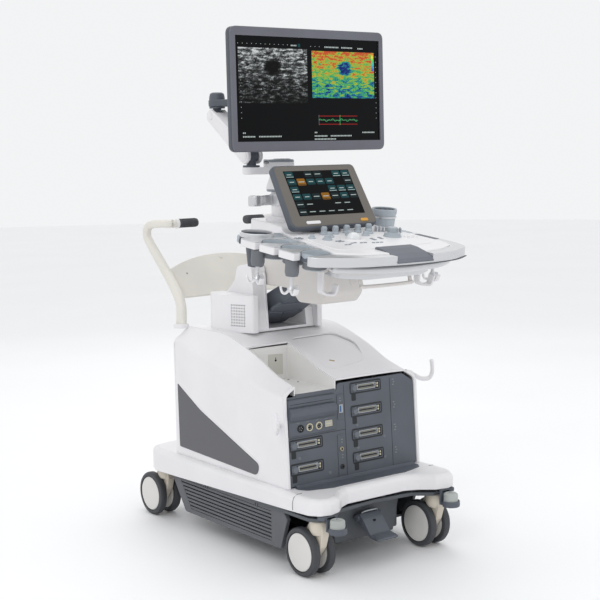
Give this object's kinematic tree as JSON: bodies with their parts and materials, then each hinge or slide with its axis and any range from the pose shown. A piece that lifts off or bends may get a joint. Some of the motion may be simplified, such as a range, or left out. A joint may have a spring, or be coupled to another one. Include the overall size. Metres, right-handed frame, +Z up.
{
  "type": "ultrasound machine",
  "caption": "Cart-mounted diagnostic ultrasound machine: caster base with probe ports, lifting and swivelling console with touch panel and keyboard drawer, and an arm-mounted monitor.",
  "frame": {"origin": "floor level under the centre of the bounding box", "axes": "+Z up, the front with the probe ports and the console faces -Y, +X is to the right of someone facing the front"},
  "size_m": [0.578, 0.9673, 1.375],
  "materials": {
    "white_abs": "fine-textured moulded ABS",
    "cream_abs": "smooth moulded ABS",
    "beige_nylon": "moulded nylon",
    "dark_grey_abs": "fine-textured moulded ABS",
    "mid_grey_abs": "textured moulded ABS",
    "blue_grey_paint": "satin painted plastic",
    "blue_grey_dish": "satin moulded plastic",
    "silver_paint": "metallic silver paint on ABS",
    "black_rubber": "matte rubber",
    "caster_tread": "polyurethane tread",
    "screen_glass": "gloss screen",
    "zinc_plated_steel": "zinc plated sheet",
    "chassis_paint": "dark grey powder coat"
  },
  "bodies": {
    "cart": {"base_cover": "white_abs", "chassis": "chassis_paint", "vent_skirt_left": "mid_grey_abs", "vent_skirt_right": "mid_grey_abs", "bumper_bracket_left": "dark_grey_abs", "bumper_bracket_right": "dark_grey_abs", "port_panel": "dark_grey_abs", "port_board": "dark_grey_abs", "drive_unit": "dark_grey_abs", "top_cover": "white_abs", "side_cover_left": "white_abs", "side_cover_right": "white_abs", "rear_cover": "white_abs", "card_cage": "zinc_plated_steel", "power_supply": "zinc_plated_steel", "handle_frame": "cream_abs", "handle_grip_left": "black_rubber", "handle_grip_right": "black_rubber", "cable_hook_left": "white_abs", "cable_hook_right": "white_abs", "column_cover": "white_abs", "speaker_left": "white_abs", "speaker_right": "white_abs"},
    "caster_front_left": {"caster_fork_front_left": "beige_nylon"},
    "wheels_front_left": {"caster_wheels_front_left": "caster_tread"},
    "caster_front_right": {"caster_fork_front_right": "beige_nylon"},
    "wheels_front_right": {"caster_wheels_front_right": "caster_tread"},
    "caster_rear_left": {"caster_fork_rear_left": "beige_nylon"},
    "wheels_rear_left": {"caster_wheels_rear_left": "caster_tread"},
    "caster_rear_right": {"caster_fork_rear_right": "beige_nylon"},
    "wheels_rear_right": {"caster_wheels_rear_right": "caster_tread"},
    "roller_left": {"bumper_roller_left": "black_rubber"},
    "roller_right": {"bumper_roller_right": "black_rubber"},
    "pedal": {"brake_pedal": "dark_grey_abs"},
    "lift": {"lift_arm": "dark_grey_abs"},
    "carrier": {"arm_carrier": "beige_nylon"},
    "console": {"console_body": "white_abs", "console_rim": "silver_paint", "palm_rest": "blue_grey_paint", "probe_tray": "white_abs", "gel_cup": "dark_grey_abs", "probe_cup_right": "blue_grey_dish", "touch_panel": "blue_grey_paint", "monitor_post": "dark_grey_abs"},
    "drawer": {"keyboard_drawer": "white_abs"},
    "knob_1": {"touch_knob_1": "blue_grey_dish"},
    "knob_2": {"touch_knob_2": "blue_grey_dish"},
    "knob_3": {"touch_knob_3": "blue_grey_dish"},
    "knob_4": {"touch_knob_4": "blue_grey_dish"},
    "knob_5": {"touch_knob_5": "blue_grey_dish"},
    "ball": {"trackball": "blue_grey_dish"},
    "dial": {"gain_dial": "blue_grey_dish"},
    "lower_arm": {"lower_arm": "white_abs"},
    "elbow": {"elbow_barrel": "dark_grey_abs"},
    "upper_arm": {"upper_arm": "white_abs"},
    "wrist": {"arm_wrist": "dark_grey_abs"},
    "bracket": {"tilt_bracket": "dark_grey_abs"},
    "monitor": {"monitor_housing": "blue_grey_paint", "monitor_bezel": "blue_grey_paint", "display_panel": "screen_glass"}
  },
  "joints": [
    {"name": "caster_swivel_front_left", "type": "hinge", "parent": "cart", "child": "caster_front_left", "pos_m": [-0.212, -0.3359, 0.15], "axis": [0, 0, 1], "continuous": true},
    {"name": "wheel_spin_front_left", "type": "hinge", "parent": "caster_front_left", "child": "wheels_front_left", "pos_m": [-0.212, -0.2989, 0.0625], "axis": [1, 0, 0], "continuous": true},
    {"name": "caster_swivel_front_right", "type": "hinge", "parent": "cart", "child": "caster_front_right", "pos_m": [0.178, -0.3359, 0.15], "axis": [0, 0, 1], "continuous": true},
    {"name": "wheel_spin_front_right", "type": "hinge", "parent": "caster_front_right", "child": "wheels_front_right", "pos_m": [0.178, -0.2989, 0.0625], "axis": [1, 0, 0], "continuous": true},
    {"name": "caster_swivel_rear_left", "type": "hinge", "parent": "cart", "child": "caster_rear_left", "pos_m": [-0.212, 0.3841, 0.15], "axis": [0, 0, 1], "continuous": true},
    {"name": "wheel_spin_rear_left", "type": "hinge", "parent": "caster_rear_left", "child": "wheels_rear_left", "pos_m": [-0.212, 0.4211, 0.0625], "axis": [1, 0, 0], "continuous": true},
    {"name": "caster_swivel_rear_right", "type": "hinge", "parent": "cart", "child": "caster_rear_right", "pos_m": [0.178, 0.3841, 0.15], "axis": [0, 0, 1], "continuous": true},
    {"name": "wheel_spin_rear_right", "type": "hinge", "parent": "caster_rear_right", "child": "wheels_rear_right", "pos_m": [0.178, 0.4211, 0.0625], "axis": [1, 0, 0], "continuous": true},
    {"name": "bumper_roller_spin_left", "type": "hinge", "parent": "cart", "child": "roller_left", "pos_m": [-0.207, -0.4019, 0.146], "axis": [0, 0, 1], "continuous": true},
    {"name": "bumper_roller_spin_right", "type": "hinge", "parent": "cart", "child": "roller_right", "pos_m": [0.173, -0.4019, 0.146], "axis": [0, 0, 1], "continuous": true},
    {"name": "brake_pedal_press", "type": "hinge", "parent": "cart", "child": "pedal", "pos_m": [-0.017, -0.2909, 0.112], "axis": [1, 0, 0], "range_deg": [0, 12]},
    {"name": "console_lift", "type": "hinge", "parent": "cart", "child": "lift", "pos_m": [-0.017, 0.1311, 0.605], "axis": [1, 0, 0], "range_deg": [-15, 17]},
    {"name": "carrier_level", "type": "hinge", "parent": "lift", "child": "carrier", "pos_m": [-0.017, -0.0239, 0.685], "axis": [1, 0, 0], "range_deg": [-17, 15]},
    {"name": "console_swivel", "type": "hinge", "parent": "carrier", "child": "console", "pos_m": [-0.017, -0.0389, 0.7755], "axis": [0, 0, 1], "range_deg": [-30, 30]},
    {"name": "keyboard_slide", "type": "slide", "parent": "console", "child": "drawer", "axis": [0, -0.994, -0.1097], "range_m": [0, 0.14]},
    {"name": "touch_knob_turn_1", "type": "hinge", "parent": "console", "child": "knob_1", "pos_m": [-0.067, -0.18348, 0.83732], "axis": [0, -0.1097, 0.994], "continuous": true},
    {"name": "touch_knob_turn_2", "type": "hinge", "parent": "console", "child": "knob_2", "pos_m": [-0.0295, -0.18348, 0.83732], "axis": [0, -0.1097, 0.994], "continuous": true},
    {"name": "touch_knob_turn_3", "type": "hinge", "parent": "console", "child": "knob_3", "pos_m": [0.008, -0.18348, 0.83732], "axis": [0, -0.1097, 0.994], "continuous": true},
    {"name": "touch_knob_turn_4", "type": "hinge", "parent": "console", "child": "knob_4", "pos_m": [0.0455, -0.18348, 0.83732], "axis": [0, -0.1097, 0.994], "continuous": true},
    {"name": "touch_knob_turn_5", "type": "hinge", "parent": "console", "child": "knob_5", "pos_m": [0.083, -0.18348, 0.83732], "axis": [0, -0.1097, 0.994], "continuous": true},
    {"name": "trackball_roll", "type": "hinge", "parent": "console", "child": "ball", "pos_m": [-0.037, -0.26515, 0.82981], "axis": [1, 0, 0], "continuous": true},
    {"name": "gain_dial_turn", "type": "hinge", "parent": "console", "child": "dial", "pos_m": [0.095, -0.26498, 0.82832], "axis": [0, -0.1097, 0.994], "continuous": true},
    {"name": "lower_arm_swivel", "type": "hinge", "parent": "console", "child": "lower_arm", "pos_m": [-0.017, 0.0611, 0.9905], "axis": [0, 0, 1], "range_deg": [-30, 30]},
    {"name": "elbow_swivel", "type": "hinge", "parent": "lower_arm", "child": "elbow", "pos_m": [-0.097, 0.0911, 1.0103], "axis": [0, 0, 1], "range_deg": [-40, 40]},
    {"name": "upper_arm_pitch", "type": "hinge", "parent": "elbow", "child": "upper_arm", "pos_m": [-0.097, 0.0911, 1.041], "axis": [1, 0, 0], "range_deg": [-5, 25]},
    {"name": "wrist_level", "type": "hinge", "parent": "upper_arm", "child": "wrist", "pos_m": [-0.097, 0.2511, 1.15], "axis": [1, 0, 0], "range_deg": [-25, 5]},
    {"name": "monitor_swivel", "type": "hinge", "parent": "wrist", "child": "bracket", "pos_m": [-0.097, 0.2511, 1.1763], "axis": [0, 0, 1], "range_deg": [-40, 40]},
    {"name": "monitor_tilt", "type": "hinge", "parent": "bracket", "child": "monitor", "pos_m": [0.0315, 0.0731, 1.205], "axis": [1, 0, 0], "range_deg": [-20, 8]}
  ],
  "couplings": [
    {"joint": "carrier_level", "follows": "console_lift", "ratio": -1},
    {"joint": "wrist_level", "follows": "upper_arm_pitch", "ratio": -1}
  ]
}
